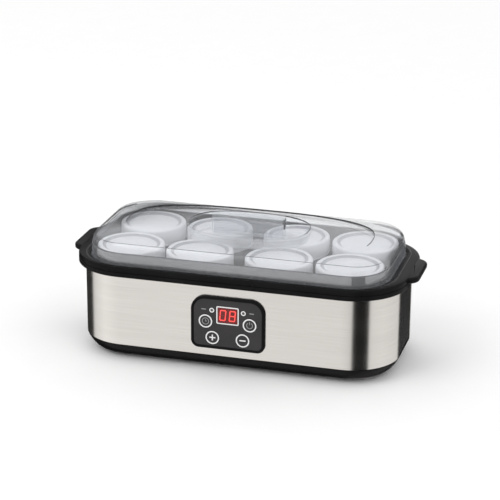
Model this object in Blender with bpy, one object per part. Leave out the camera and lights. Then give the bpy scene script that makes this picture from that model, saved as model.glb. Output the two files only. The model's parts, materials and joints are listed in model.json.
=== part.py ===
"""Eight-jar yogurt maker: warming base, removable clear lid, eight glass jars with white lids.

Metres, +Z up, front towards -Y, standing on z = 0. Lengths below are in millimetres and
are turned into metres as each mesh is made.
"""

import math

import bmesh
import bpy

MM = 0.001

# ---- driving dimensions (mm) ----
STEEL_HALF_X = 163.5
STEEL_HALF_Y = 74.4
STEEL_RADIUS = 49.7
STEEL_THICK = 0.8
STEEL_BOTTOM = 16.9
STEEL_TOP = 91.4
BASE_BOTTOM = 3.8
WALL_TOP = 91.0
EAR_REACH = 180.0
EAR_HALF_Y = 31.0
EAR_RADIUS = 14.0
JAR_X = (-113.4, -41.0, 41.0, 113.4)
JAR_Y = (-35.8, 35.8)
JAR_BOTTOM = 28.3
CAP_BOTTOM = 95.6
CAP_RADIUS = 34.0
GRIP_HALF_X = 38.0
GRIP_TOP = 144.8
PANEL_HALF_X = 38.0
PANEL_BOTTOM = 25.0
PANEL_TOP = 80.4
PANEL_R_TOP = 15.0
PANEL_R_BOTTOM = 8.0
KEY_UPPER_X = 22.7
KEY_UPPER_Z = 53.9
KEY_LOWER_X = 15.6
KEY_LOWER_Z = 37.0
KEY_RADIUS = 7.1
KEY_FLANGE = 7.6
KEY_HOLE = 7.4
KEY_FRONT = -77.2
LED_X = 16.2
LED_Z = 66.0
FOOT_X = 118.0
FOOT_Y = 38.0
SCREW_X = 136.0
SCREW_Y = 47.0
GLAND_X = 60.0
GLAND_Z = 23.0

CORNER_STEPS = 5
PANEL_STEPS = 4
SIDE_STEPS_X = 3
SIDE_STEPS_Y = 2
TURN_STEPS = 16
SMALL_STEPS = 12
SCREW_STEPS = 8


# ---- scene ----
def clear_scene():
    for item in list(bpy.data.objects):
        bpy.data.objects.remove(item, do_unlink=True)


def new_collection(name):
    made = bpy.data.collections.new(name)
    bpy.context.scene.collection.children.link(made)
    return made


clear_scene()
PARTS = new_collection("yogurt_maker")
CUTTERS = new_collection("cutters")


def material(name, color, rough, metal=0.0, clear=0.0):
    made = bpy.data.materials.new(name)
    made.use_nodes = True
    shader = made.node_tree.nodes["Principled BSDF"]
    shader.inputs["Base Color"].default_value = (*color, 1.0)
    shader.inputs["Roughness"].default_value = rough
    shader.inputs["Metallic"].default_value = metal
    shader.inputs["Transmission Weight"].default_value = clear
    return made


BLACK = (0.012, 0.012, 0.013)
STEEL = (0.62, 0.60, 0.57)
WHITE = (0.72, 0.72, 0.75)
GREEN = (0.02, 0.12, 0.05)


def finish_object(name, mesh, look):
    """One object of the assembly, with a material of its own."""
    made = bpy.data.objects.new(name, mesh)
    PARTS.objects.link(made)
    if made.type == "MESH":
        mesh.shade_smooth()
        mesh.set_sharp_from_angle(angle=math.radians(35.0))
    color, rough, metal, clear = look
    mesh.materials.append(material(name + "_mat", color, rough, metal, clear))
    return made


def to_mesh(name, bm):
    bmesh.ops.remove_doubles(bm, verts=bm.verts, dist=1e-6)
    bmesh.ops.recalc_face_normals(bm, faces=bm.faces)
    mesh = bpy.data.meshes.new(name)
    bm.to_mesh(mesh)
    bm.free()
    return mesh


def set_origin(item, x, y, z):
    """Moves the object's origin to a point (mm) and leaves the shape where it is."""
    shift = (x * MM, y * MM, z * MM)
    for vertex in item.data.vertices:
        vertex.co.x -= shift[0]
        vertex.co.y -= shift[1]
        vertex.co.z -= shift[2]
    item.location = shift
    return item


# ---- outlines ----
def arc(cx, cy, radius, start, steps):
    found = []
    for i in range(steps + 1):
        angle = math.radians(start + 90.0 * i / steps)
        found.append((cx + radius * math.cos(angle), cy + radius * math.sin(angle)))
    return found


def between(a, b, steps):
    found = []
    for i in range(1, steps):
        t = i / steps
        found.append((a[0] + (b[0] - a[0]) * t, a[1] + (b[1] - a[1]) * t))
    return found


def outline(half_x, half_y, radius, z):
    """Rounded rectangle at height z, anticlockwise from +X."""
    cx = half_x - radius
    cy = half_y - radius
    corners = [
        arc(cx, cy, radius, 0, CORNER_STEPS),
        arc(-cx, cy, radius, 90, CORNER_STEPS),
        arc(-cx, -cy, radius, 180, CORNER_STEPS),
        arc(cx, -cy, radius, 270, CORNER_STEPS),
    ]
    found = []
    for i, corner in enumerate(corners):
        found += corner
        steps = SIDE_STEPS_X if i % 2 == 0 else SIDE_STEPS_Y
        found += between(corner[-1], corners[(i + 1) % 4][0], steps)
    return [(x, y, z) for x, y in found]


def oval(half_x, half_y, power, z):
    """Superellipse at height z, with its points in the directions of the lid's outline."""
    found = []
    for x, y, _ in outline(150.0, 69.5, 41.0, 0.0):
        angle = math.atan2(y, x)
        c = abs(math.cos(angle) / half_x) ** power
        s = abs(math.sin(angle) / half_y) ** power
        reach = (c + s) ** (-1.0 / power)
        found.append((reach * math.cos(angle), reach * math.sin(angle), z))
    return found


def panel_outline(grow, y):
    """The control panel's outline in the plane at y, grown by some mm."""
    half = PANEL_HALF_X + grow
    low = PANEL_BOTTOM - grow
    high = PANEL_TOP + grow
    top = PANEL_R_TOP + grow
    bottom = PANEL_R_BOTTOM + grow
    found = arc(half - top, high - top, top, 0, PANEL_STEPS)
    found += arc(-half + top, high - top, top, 90, PANEL_STEPS)
    found += arc(-half + bottom, low + bottom, bottom, 180, PANEL_STEPS)
    found += arc(half - bottom, low + bottom, bottom, 270, PANEL_STEPS)
    return [(x, y, z) for x, z in found]


# ---- builders ----
def loft_mesh(name, loops, ring):
    """Skin over loops of equal length. A ring joins the last loop to the first."""
    bm = bmesh.new()
    rows = [[bm.verts.new((x * MM, y * MM, z * MM)) for x, y, z in loop] for loop in loops]
    pairs = list(zip(rows, rows[1:]))
    if ring:
        pairs.append((rows[-1], rows[0]))
    for low, high in pairs:
        for i in range(len(low)):
            j = (i + 1) % len(low)
            bm.faces.new((low[i], low[j], high[j], high[i]))
    if not ring:
        bm.faces.new(list(reversed(rows[0])))
        bm.faces.new(rows[-1])
    return to_mesh(name, bm)


def loft(name, loops, look, ring=False):
    return finish_object(name, loft_mesh(name, loops, ring), look)


def spin_mesh(name, profile, axis, closed, steps):
    """Turns a profile of (radius, distance) about Z or Y through the origin."""
    bm = bmesh.new()
    if axis == "Z":
        points = [(r * MM, 0.0, d * MM) for r, d in profile]
        about = (0.0, 0.0, 1.0)
    else:
        points = [(r * MM, d * MM, 0.0) for r, d in profile]
        about = (0.0, 1.0, 0.0)
    verts = [bm.verts.new(p) for p in points]
    edges = [bm.edges.new(pair) for pair in zip(verts, verts[1:])]
    if closed:
        edges.append(bm.edges.new((verts[-1], verts[0])))
    bmesh.ops.spin(
        bm,
        geom=verts + edges,
        cent=(0.0, 0.0, 0.0),
        axis=about,
        angle=2.0 * math.pi,
        steps=steps,
        use_merge=True,
    )
    return to_mesh(name, bm)


def turned(name, profile, at, look, axis="Z", closed=False, steps=TURN_STEPS):
    made = finish_object(name, spin_mesh(name, profile, axis, closed, steps), look)
    made.location = (at[0] * MM, at[1] * MM, at[2] * MM)
    return made


def box_mesh(name, low, high, bevel=0.0):
    bm = bmesh.new()
    bmesh.ops.create_cube(bm, size=1.0)
    for vertex in bm.verts:
        for i in range(3):
            vertex.co[i] = MM * (low[i] + (vertex.co[i] + 0.5) * (high[i] - low[i]))
    if bevel:
        bmesh.ops.bevel(
            bm,
            geom=list(bm.edges),
            offset=bevel * MM,
            segments=2,
            profile=0.5,
            affect="EDGES",
        )
    return to_mesh(name, bm)


def box(name, low, high, look, bevel=0.0):
    return finish_object(name, box_mesh(name, low, high, bevel), look)


def extruded_y(name, profile, y0, y1, look):
    loops = [[(x, y, z) for x, z in profile] for y in (y0, y1)]
    return loft(name, loops, look)


# ---- helpers that cut or join ----
def helper(name, mesh):
    made = bpy.data.objects.new(name, mesh)
    made.hide_render = True
    made.display_type = "WIRE"
    CUTTERS.objects.link(made)
    return made


def combine(item, other, operation):
    step = item.modifiers.new(other.name, "BOOLEAN")
    step.object = other
    step.operation = operation
    step.solver = "EXACT"


def rod(name, radius, at, axis, length, steps=TURN_STEPS):
    """A cylinder helper centred at a point."""
    half = length / 2.0
    profile = [(0.0, -half), (radius, -half), (radius, half), (0.0, half)]
    made = helper(name, spin_mesh(name, profile, axis, False, steps))
    made.location = (at[0] * MM, at[1] * MM, at[2] * MM)
    return made


# ---- looks: colour, roughness, metal, clear ----
PLASTIC_BLACK = (BLACK, 0.35, 0.0, 0.0)
PLASTIC_SATIN = ((0.02, 0.02, 0.022), 0.5, 0.0, 0.0)
BRUSHED = (STEEL, 0.32, 1.0, 0.0)
ALUMINIUM = ((0.7, 0.7, 0.71), 0.4, 1.0, 0.0)
CAP_WHITE = (WHITE, 0.4, 0.0, 0.0)
GLASS = ((0.95, 0.97, 0.97), 0.03, 0.0, 1.0)
LID_CLEAR = ((0.93, 0.94, 0.95), 0.05, 0.0, 1.0)
RUBBER = ((0.03, 0.03, 0.03), 0.8, 0.0, 0.0)
BOARD = (GREEN, 0.5, 0.0, 0.0)
COPPER_STEEL = ((0.45, 0.42, 0.38), 0.4, 1.0, 0.0)
OVERLAY = ((0.03, 0.028, 0.03), 0.3, 0.0, 0.0)
WINDOW_RED = ((0.08, 0.005, 0.008), 0.1, 0.0, 0.0)
LED_WHITE = ((0.8, 0.8, 0.8), 0.3, 0.0, 0.0)


# ---- base ----
def make_base_housing():
    """Open-bottomed black shell: rounded trim at the foot, recessed wall behind the steel."""
    loops = [
        outline(154.4, 65.1, 40.6, BASE_BOTTOM),
        outline(155.6, 66.3, 41.8, 4.7),
        outline(158.8, 69.5, 45.0, 8.0),
        outline(161.4, 72.1, 47.6, 12.0),
        outline(163.2, 73.9, 49.4, 15.4),
        outline(163.4, 74.2, 49.6, 16.3),
        outline(162.3, 73.1, 48.5, 16.4),
        outline(162.3, 73.1, 48.5, WALL_TOP),
        outline(159.9, 70.9, 46.3, WALL_TOP),
        outline(159.9, 70.9, 46.3, 18.0),
        outline(157.0, 68.0, 43.4, 9.6),
        outline(147.0, 58.0, 33.4, 9.6),
        outline(147.0, 58.0, 33.4, 6.8),
        outline(151.0, 62.0, 37.4, 6.8),
        outline(151.0, 62.0, 37.4, BASE_BOTTOM),
    ]
    shell = loft("base_housing", loops, PLASTIC_BLACK, ring=True)
    for side, sign in (("right", 1.0), ("left", -1.0)):
        profile = [(160.6, 14.0), (162.7, 16.2), (163.5, 38.0), (163.5, 90.8), (160.6, 90.8)]
        points = [(sign * x, z) for x, z in profile]
        loops = [[(x, y, z) for x, z in points] for y in (-24.3, 24.3)]
        combine(shell, helper("cheek_" + side, loft_mesh("cheek_" + side, loops, False)), "UNION")
    for i, (x, y) in enumerate(screw_points()):
        combine(shell, rod(f"boss_{i}", 5.0, (x, y, 11.6), "Z", 9.0, SMALL_STEPS), "UNION")
    for i, (x, y) in enumerate(screw_points()):
        combine(shell, rod(f"boss_hole_{i}", 1.7, (x, y, 9.6), "Z", 9.0, SCREW_STEPS), "DIFFERENCE")
    cut_panel_opening(shell, "housing_opening")
    hole = rod("housing_gland_hole", 4.4, (GLAND_X, 72.0, GLAND_Z), "Y", 6.0)
    combine(shell, hole, "DIFFERENCE")
    return shell


def cut_panel_opening(item, name):
    loops = [panel_outline(-2.7, -79.0), panel_outline(-2.7, -69.8)]
    combine(item, helper(name, loft_mesh(name, loops, False)), "DIFFERENCE")


def screw_points():
    return [(sx * SCREW_X, sy * SCREW_Y) for sx in (-1, 1) for sy in (-1, 1)]


def foot_points():
    return [(sx * FOOT_X, sy * FOOT_Y) for sx in (-1, 1) for sy in (-1, 1)]


def standoff_points():
    return [(-84.0, -20.0), (-6.0, 20.0)]


def make_base_plate():
    loops = [outline(150.6, 61.6, 37.0, BASE_BOTTOM), outline(150.6, 61.6, 37.0, 6.4)]
    plate = loft("base_plate", loops, PLASTIC_SATIN)
    for i, (x, y) in enumerate(standoff_points()):
        combine(plate, rod(f"standoff_{i}", 3.2, (x, y, 8.7), "Z", 6.0, SMALL_STEPS), "UNION")
        combine(plate, rod(f"standoff_hole_{i}", 1.5, (x, y, 10.0), "Z", 6.0, SCREW_STEPS), "DIFFERENCE")
    for i, (x, y) in enumerate(screw_points()):
        combine(plate, rod(f"plate_hole_{i}", 1.7, (x, y, 5.0), "Z", 6.0, SCREW_STEPS), "DIFFERENCE")
        combine(plate, rod(f"plate_sink_{i}", 3.5, (x, y, 3.6), "Z", 4.0, SMALL_STEPS), "DIFFERENCE")
    for i, (x, y) in enumerate(foot_points()):
        combine(plate, rod(f"foot_hole_{i}", 3.6, (x, y, 5.0), "Z", 6.0, SMALL_STEPS), "DIFFERENCE")
    for i in range(6):
        y = -20.0 + 8.0 * i
        mesh = box_mesh(f"vent_{i}", (40.0, y - 1.5, 2.0), (80.0, y + 1.5, 8.0))
        combine(plate, helper(f"vent_{i}", mesh), "DIFFERENCE")
    return plate


def make_feet():
    profile = [(0, 0), (8.4, 0), (9.3, 0.9), (9.3, 3.5), (3.2, 3.5), (3.2, 6.2), (0, 6.2)]
    for i, (x, y) in enumerate(foot_points()):
        turned(f"foot_{i + 1}", profile, (x, y, 0.0), RUBBER, steps=SMALL_STEPS)


def make_base_screws():
    profile = [(0, 3.95), (2.6, 3.95), (3.1, 4.4), (3.1, 5.2), (1.35, 5.2), (1.35, 12.6), (0, 12.6)]
    for i, (x, y) in enumerate(screw_points()):
        turned(f"base_screw_{i + 1}", profile, (x, y, 0.0), COPPER_STEEL, steps=SCREW_STEPS)


def steel_path(inset):
    """Half of the steel outline: one end's corner tangent, round the front, to the other."""
    cx = STEEL_HALF_X - STEEL_RADIUS
    cy = STEEL_HALF_Y - STEEL_RADIUS
    radius = STEEL_RADIUS - inset
    return arc(-cx, -cy, radius, 180, 10) + arc(cx, -cy, radius, 270, 10)


def steel_sheet(name, side):
    """Side is 1 for the front sheet and -1 for the rear one."""
    loops = []
    for (ox, oy), (ix, iy) in zip(steel_path(0.0), steel_path(STEEL_THICK)):
        loops.append(
            [
                (ox, side * oy, STEEL_BOTTOM),
                (ox, side * oy, STEEL_TOP),
                (ix, side * iy, STEEL_TOP),
                (ix, side * iy, STEEL_BOTTOM),
            ]
        )
    return loft(name, loops, BRUSHED)


def make_steel():
    front = steel_sheet("steel_front_panel", 1)
    cut_panel_opening(front, "steel_opening")
    rear = steel_sheet("steel_rear_panel", -1)
    hole = rod("steel_gland_hole", 4.4, (GLAND_X, 74.0, GLAND_Z), "Y", 6.0)
    combine(rear, hole, "DIFFERENCE")


def make_cord_gland():
    profile = [(2.2, 76.6), (6.0, 76.6), (6.5, 76.1), (6.5, 74.8), (4.0, 74.8), (4.0, 70.0), (2.2, 70.0)]
    turned("cord_gland", profile, (GLAND_X, 0.0, GLAND_Z), RUBBER, "Y", closed=True, steps=SMALL_STEPS)


def make_top_rim():
    """Flange, lid groove and upstanding collar in one ring, with a grip ear at each end."""
    loops = [
        outline(170.1, 81.1, 56.3, 92.0),
        outline(170.7, 81.7, 56.9, 92.8),
        outline(170.7, 81.7, 56.9, 101.4),
        outline(169.3, 80.3, 55.5, 103.1),
        outline(156.4, 75.7, 42.0, 103.3),
        outline(156.0, 75.3, 41.6, 101.6),
        outline(151.5, 71.2, 37.4, 101.6),
        outline(151.5, 71.2, 37.4, 113.2),
        outline(151.1, 70.9, 37.0, 113.7),
        outline(150.3, 70.5, 36.4, 113.7),
        outline(149.9, 70.2, 36.0, 113.3),
        outline(149.9, 70.2, 36.0, 92.5),
        outline(147.9, 68.8, 33.6, 92.5),
        outline(147.9, 68.8, 33.6, 91.8),
        outline(165.3, 76.3, 51.5, 91.8),
        outline(165.3, 76.3, 51.5, 99.6),
        outline(168.8, 79.8, 55.0, 99.6),
        outline(168.8, 79.8, 55.0, 92.0),
    ]
    rim = loft("top_rim", loops, PLASTIC_BLACK, ring=True)
    for side, sign in (("right", 1.0), ("left", -1.0)):
        combine(rim, helper("ear_" + side, ear_mesh("ear_" + side, sign)), "UNION")
    return rim


def ear_mesh(name, sign):
    """Grip ear: a flat tongue with well rounded outer corners and softened edges."""
    levels = [(96.6, 1.2), (97.8, 0.2), (101.4, 0.0), (102.6, 1.0)]
    loops = []
    for z, inset in levels:
        reach = EAR_REACH - inset
        half = EAR_HALF_Y - inset
        side = half - EAR_RADIUS
        points = [(164.2, -half)] + arc(reach - EAR_RADIUS, -side, EAR_RADIUS, 270, 5)
        points += arc(reach - EAR_RADIUS, side, EAR_RADIUS, 0, 5) + [(164.2, half)]
        loops.append([(sign * x, y, z) for x, y in points])
    return loft_mesh(name, loops, False)


def make_inner_tub():
    loops = [
        outline(143.2, 64.5, 29.2, 26.6),
        outline(146.3, 67.6, 32.2, 29.4),
        outline(147.1, 68.4, 33.0, 33.0),
        outline(147.1, 68.4, 33.0, 92.9),
        outline(149.5, 69.8, 35.4, 92.9),
        outline(149.5, 69.8, 35.4, 93.9),
        outline(146.0, 67.3, 31.9, 93.9),
        outline(146.0, 67.3, 31.9, 33.0),
        outline(142.8, 64.1, 28.8, 28.0),
    ]
    loft("inner_tub", loops, PLASTIC_SATIN)


# ---- heater and power ----
def make_heater():
    loops = [outline(128.0, 54.0, 24.0, 24.5), outline(128.0, 54.0, 24.0, 26.1)]
    loft("heater_plate", loops, ALUMINIUM)
    curve = bpy.data.curves.new("heating_element", "CURVE")
    curve.dimensions = "3D"
    curve.bevel_depth = 2.6 * MM
    curve.bevel_resolution = 1
    spline = curve.splines.new("POLY")
    points = outline(104.0, 40.0, 18.0, 21.4)
    spline.points.add(len(points) - 1)
    for target, (x, y, z) in zip(spline.points, points):
        target.co = (x * MM, y * MM, z * MM, 1.0)
    spline.use_cyclic_u = True
    finish_object("heating_element", curve, COPPER_STEEL)
    sensor = [(0, 20.6), (3.0, 20.6), (3.6, 21.2), (3.6, 24.1), (0, 24.1)]
    turned("temperature_sensor", sensor, (30.0, 0.0, 0.0), COPPER_STEEL, steps=SMALL_STEPS)
    clip = [
        (21.0, 24.1),
        (21.0, 23.3),
        (25.2, 23.3),
        (25.2, 19.4),
        (34.8, 19.4),
        (34.8, 23.3),
        (39.0, 23.3),
        (39.0, 24.1),
        (34.0, 24.1),
        (34.0, 20.2),
        (26.0, 20.2),
        (26.0, 24.1),
    ]
    extruded_y("sensor_clip", clip, -3.0, 3.0, ALUMINIUM)
    fuse = [(0, -8.0), (1.4, -8.0), (2.0, -7.2), (2.0, 7.2), (1.4, 8.0), (0, 8.0)]
    turned("thermal_fuse", fuse, (55.0, 0.0, 21.6), LED_WHITE, axis="Y", steps=SMALL_STEPS)


def make_power_board():
    board = box("power_board", (-90.0, -26.0, 12.0), (0.0, 26.0, 13.6), BOARD)
    for i, (x, y) in enumerate(standoff_points()):
        combine(board, rod(f"board_hole_{i}", 1.8, (x, y, 12.8), "Z", 4.0, SCREW_STEPS), "DIFFERENCE")
        profile = [(0, 8.2), (1.15, 8.2), (1.15, 13.9), (2.7, 13.9), (2.7, 15.2), (2.1, 15.7), (0, 15.7)]
        turned(f"board_screw_{i + 1}", profile, (x, y, 0.0), COPPER_STEEL, steps=SCREW_STEPS)
    box("relay", (-78.0, -12.0, 13.9), (-59.0, 3.0, 22.6), OVERLAY, bevel=0.5)
    box("transformer", (-48.0, -13.0, 13.9), (-22.0, 12.0, 23.0), (STEEL, 0.5, 0.6, 0.0), bevel=0.8)


# ---- control panel ----
def make_control_panel():
    steps = [
        (0.0, -74.7),
        (0.0, -76.8),
        (-0.8, -77.6),
        (-2.4, -77.6),
        (-2.7, -77.3),
        (-2.7, -75.0),
        (-3.9, -75.0),
        (-3.9, -72.0),
        (-3.0, -72.0),
        (-3.0, -74.7),
    ]
    loops = [panel_outline(grow, y) for grow, y in steps]
    loft("control_bezel", loops, PLASTIC_BLACK, ring=True)
    loops = [panel_outline(-3.0, -76.8), panel_outline(-3.0, -75.3)]
    overlay = loft("control_overlay", loops, OVERLAY)
    for name, x, z in key_points():
        combine(overlay, rod("hole_" + name, KEY_HOLE, (x, -76.0, z), "Y", 4.0), "DIFFERENCE")
    for name, x in (("left", -LED_X), ("right", LED_X)):
        combine(overlay, rod("hole_led_" + name, 2.6, (x, -76.0, LED_Z), "Y", 4.0, SMALL_STEPS), "DIFFERENCE")
    opening = box_mesh("display_opening", (-10.9, -79.0, 52.9), (10.9, -74.0, 70.3))
    combine(overlay, helper("display_opening", opening), "DIFFERENCE")
    box("display_window", (-10.5, -76.8, 53.3), (10.5, -75.4, 69.9), WINDOW_RED)
    box("display_module", (-11.8, -74.8, 52.0), (11.8, -71.6, 71.2), OVERLAY)
    loops = [panel_outline(-4.6, -71.3), panel_outline(-4.6, -70.0)]
    loft("control_board", loops, BOARD)


def key_points():
    return [
        ("key_timer", -KEY_UPPER_X, KEY_UPPER_Z),
        ("key_power", KEY_UPPER_X, KEY_UPPER_Z),
        ("key_plus", -KEY_LOWER_X, KEY_LOWER_Z),
        ("key_minus", KEY_LOWER_X, KEY_LOWER_Z),
    ]


def make_keys():
    """Round push keys with a retaining flange, each above its own switch."""
    profile = [
        (0.0, 0.0),
        (KEY_RADIUS - 0.4, 0.0),
        (KEY_RADIUS, 0.3),
        (KEY_RADIUS, 2.3),
        (KEY_FLANGE, 2.3),
        (KEY_FLANGE, 3.0),
        (2.0, 3.0),
        (2.0, 3.4),
        (0.0, 3.4),
    ]
    for name, x, z in key_points():
        turned(name, profile, (x, KEY_FRONT, z), OVERLAY, axis="Y", steps=SMALL_STEPS)
        low = (x - 3.0, -72.9, z - 3.0)
        high = (x + 3.0, -71.6, z + 3.0)
        box(name.replace("key", "switch"), low, high, COPPER_STEEL)


def make_leds():
    profile = [(0, -76.9), (1.9, -76.9), (2.2, -76.6), (2.2, -74.0), (1.5, -74.0), (1.5, -71.6), (0, -71.6)]
    for name, x in (("led_left", -LED_X), ("led_right", LED_X)):
        turned(name, profile, (x, 0.0, LED_Z), LED_WHITE, axis="Y", steps=SMALL_STEPS)


# ---- jars and lids ----
def make_jars():
    jar = [
        (0.0, 0.0),
        (26.5, 0.0),
        (30.5, 4.2),
        (30.5, 59.7),
        (29.2, 63.7),
        (29.2, 81.3),
        (26.8, 81.3),
        (26.8, 63.2),
        (28.0, 59.2),
        (28.0, 6.2),
        (25.5, 3.5),
        (0.0, 3.5),
    ]
    cap = [
        (0.0, 16.0),
        (28.6, 16.0),
        (29.6, 17.4),
        (32.6, 17.4),
        (CAP_RADIUS, 16.0),
        (CAP_RADIUS, 0.0),
        (32.3, 0.0),
        (32.3, 14.4),
        (0.0, 14.4),
    ]
    count = 0
    for y in JAR_Y:
        for x in JAR_X:
            count += 1
            turned(f"jar_{count}", jar, (x, y, JAR_BOTTOM), GLASS)
            turned(f"jar_lid_{count}", cap, (x, y, CAP_BOTTOM), CAP_WHITE)


def make_lid():
    """Clear cover: skirt, domed top with a raised oval, an oval well and a grip bar in it."""
    loops = [
        oval(60.2, 38.0, 2.4, 118.9),
        oval(62.4, 40.2, 2.4, 121.0),
        oval(62.9, 40.7, 2.4, 127.2),
        oval(65.5, 42.6, 2.4, 129.0),
        oval(100.0, 52.5, 2.5, 126.9),
        oval(127.0, 59.0, 2.7, 125.0),
        oval(129.0, 60.5, 2.7, 124.3),
        outline(144.0, 64.2, 34.0, 123.7),
        outline(148.2, 67.6, 36.0, 122.8),
        outline(149.9, 69.5, 37.0, 120.8),
        outline(151.1, 70.9, 37.6, 117.8),
        outline(152.0, 71.7, 38.0, 114.5),
        outline(153.1, 72.5, 39.0, 102.0),
        outline(155.0, 74.4, 40.9, 102.0),
        outline(154.0, 73.6, 40.0, 114.5),
        outline(153.1, 72.8, 39.6, 118.5),
        outline(151.7, 71.3, 38.8, 122.2),
        outline(149.6, 69.1, 37.4, 124.6),
        outline(145.0, 65.4, 35.4, 125.6),
        oval(129.5, 61.0, 2.7, 126.4),
        oval(127.6, 59.5, 2.7, 127.5),
        oval(100.0, 52.0, 2.5, 129.3),
        oval(66.0, 43.0, 2.4, 131.4),
        oval(62.2, 39.8, 2.4, 131.4),
        oval(60.9, 38.6, 2.4, 130.4),
        oval(60.3, 38.0, 2.4, 122.0),
        oval(58.8, 36.6, 2.4, 120.8),
    ]
    lid = loft("lid", loops, LID_CLEAR)
    combine(lid, helper("grip_bar", grip_mesh()), "UNION")
    return lid


def grip_mesh():
    """Upright bar along X with rounded upper corners."""
    profile = [(GRIP_HALF_X, 119.9)]
    profile += arc(GRIP_HALF_X - 4.0, GRIP_TOP - 4.0, 4.0, 0, 4)
    profile += arc(-GRIP_HALF_X + 4.0, GRIP_TOP - 4.0, 4.0, 90, 4)
    profile += [(-GRIP_HALF_X, 119.9)]
    loops = []
    for y, inset in ((-4.6, 1.0), (-3.6, 0.0), (3.6, 0.0), (4.6, 1.0)):
        scale = (GRIP_HALF_X - inset) / GRIP_HALF_X
        loops.append([(x * scale, y, z - inset if z > 125.0 else z) for x, z in profile])
    return loft_mesh("grip_bar", loops, False)


make_base_housing()
make_base_plate()
make_feet()
make_base_screws()
make_steel()
make_cord_gland()
make_top_rim()
make_inner_tub()
make_heater()
make_power_board()
make_control_panel()
make_keys()
make_leds()
make_jars()
set_origin(make_lid(), 0.0, 0.0, 102.0)
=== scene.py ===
"""Looks of the eight-jar yogurt maker: cover, caps, jars, brushed steel, black trim, panel.

Lengths are in millimetres in this script and turned into metres as each mesh is made.
The camera, the lights, the floor and the noise scales work in metres.
"""

import json  # noqa: E402
import math  # noqa: E402

import bmesh  # noqa: E402
import bpy  # noqa: E402
from mathutils import Matrix, Vector  # noqa: E402


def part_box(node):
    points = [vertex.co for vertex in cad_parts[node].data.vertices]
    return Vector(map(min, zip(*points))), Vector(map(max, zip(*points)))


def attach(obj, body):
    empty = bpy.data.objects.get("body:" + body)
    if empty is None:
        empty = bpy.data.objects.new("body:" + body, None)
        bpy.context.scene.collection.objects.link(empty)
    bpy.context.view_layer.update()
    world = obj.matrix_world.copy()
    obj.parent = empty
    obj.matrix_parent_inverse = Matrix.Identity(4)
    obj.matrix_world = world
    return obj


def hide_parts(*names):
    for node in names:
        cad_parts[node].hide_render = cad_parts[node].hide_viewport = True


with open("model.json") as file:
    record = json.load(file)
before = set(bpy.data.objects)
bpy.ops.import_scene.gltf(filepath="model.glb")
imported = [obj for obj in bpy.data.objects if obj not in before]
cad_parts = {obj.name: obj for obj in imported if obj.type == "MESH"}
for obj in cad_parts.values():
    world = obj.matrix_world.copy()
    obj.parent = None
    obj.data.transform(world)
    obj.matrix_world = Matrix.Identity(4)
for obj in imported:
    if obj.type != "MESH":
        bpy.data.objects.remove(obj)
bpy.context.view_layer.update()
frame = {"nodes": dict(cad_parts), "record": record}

MM = 0.001

# ---- mesh steps ----
CORNER_STEPS = 14  # along a quarter turn
SIDE_STEPS = (10, 6)  # along a long side and a short side
TURN_STEPS = 96  # round a turned piece
# (sign across, sign up, start angle) of a rounded rectangle's corners
QUARTERS = ((1, 1, 0), (-1, 1, 90), (-1, -1, 180), (1, -1, 270))

# ---- sizes of details (mm) ----
COVER_WALL = 1.9
SHEET_WALL = 0.8
SHEET_FOLD = 0.12
STEEL_R = 49.7  # corner radius
EAR_Y = 31.0  # half its width
EAR_CORNER = 12.0
CHEEK_Y = 24.3  # half its width
PANEL_CORNERS = (15.0, 8.0)  # upper and lower radius
PANEL_INSET = 3.0
KEY_HOLE = 7.4  # radius, as in the next three
LED_HOLE = 2.6
GLAND_HOLE = 4.4
FOOT_HOLE = 3.6
WINDOW_HALF = (10.9, 8.7)
DIGIT_HALF = (2.75, 5.2)
DIGIT_AT = 4.9  # a figure's distance from the window's middle
DIGIT_SLANT = 0.09
PRINT_SUNK = 0.05

# ---- camera (degrees, mm of film, metres) ----
AZIMUTH, ELEVATION, ROLL = 15.588, 19.735, 0.385
FILM, LENS = 36.0, 138.61
AIM = (0, 0, 0.0702)
DISTANCE, SHIFT_SIDE, SHIFT_UP = 1.9671, 0.00132, 0.03222

# ---- studio ----
SKY = 0.98
GLOSS_SKY = (0.92, 0.92, 0.94, 1)
FLAG_FADE = (0.15, 0.45)  # share of the way up over which the flags end
FLOOR_HALF = 12.0
LAMP_AIM = (0, 0, 0.07)


# ---- sizes taken from the frame (mm) ----
def lows(node):
    """Low corner of a CAD node's box."""
    return [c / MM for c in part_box(node)[0]]


def highs(node):
    """High corner of a CAD node's box."""
    return [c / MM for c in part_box(node)[1]]


def centre(node):
    return [(a + b) / 2 for a, b in zip(lows(node), highs(node))]


STEEL_X = highs("steel_front_panel")[0]
STEEL_Y = -lows("steel_front_panel")[1]
STEEL_Z = (lows("steel_front_panel")[2], highs("steel_front_panel")[2])
RIM_Y = highs("top_rim")[1]
RIM_GROW = RIM_Y - STEEL_Y
EAR_X = highs("top_rim")[0]
COLLAR_TOP = highs("top_rim")[2]
LID_X = highs("lid")[0]
LID_Y = highs("lid")[1]
LID_LOW = lows("lid")[2]
GRIP_TOP = highs("lid")[2]
BASE_LOW = lows("base_housing")[2]
PANEL_X = highs("control_bezel")[0]
PANEL_Z = (lows("control_bezel")[2], highs("control_bezel")[2])
OVERLAY_FRONT = lows("control_overlay")[1]
KEYS = ("key_timer", "key_power", "key_plus", "key_minus")


# ---- mesh tools ----
def link(name, mesh):
    """Puts a mesh into the scene as an object."""
    made = bpy.data.objects.new(name, mesh)
    bpy.context.scene.collection.objects.link(made)
    return made


def from_bm(name, bm, smooth=40.0):
    """Object from a bmesh, smooth up to an angle in degrees."""
    bmesh.ops.remove_doubles(bm, verts=bm.verts, dist=1e-7)
    bmesh.ops.recalc_face_normals(bm, faces=bm.faces)
    mesh = bpy.data.meshes.new(name)
    bm.to_mesh(mesh)
    bm.free()
    mesh.shade_smooth()
    mesh.set_sharp_from_angle(angle=math.radians(smooth))
    return link(name, mesh)


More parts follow.
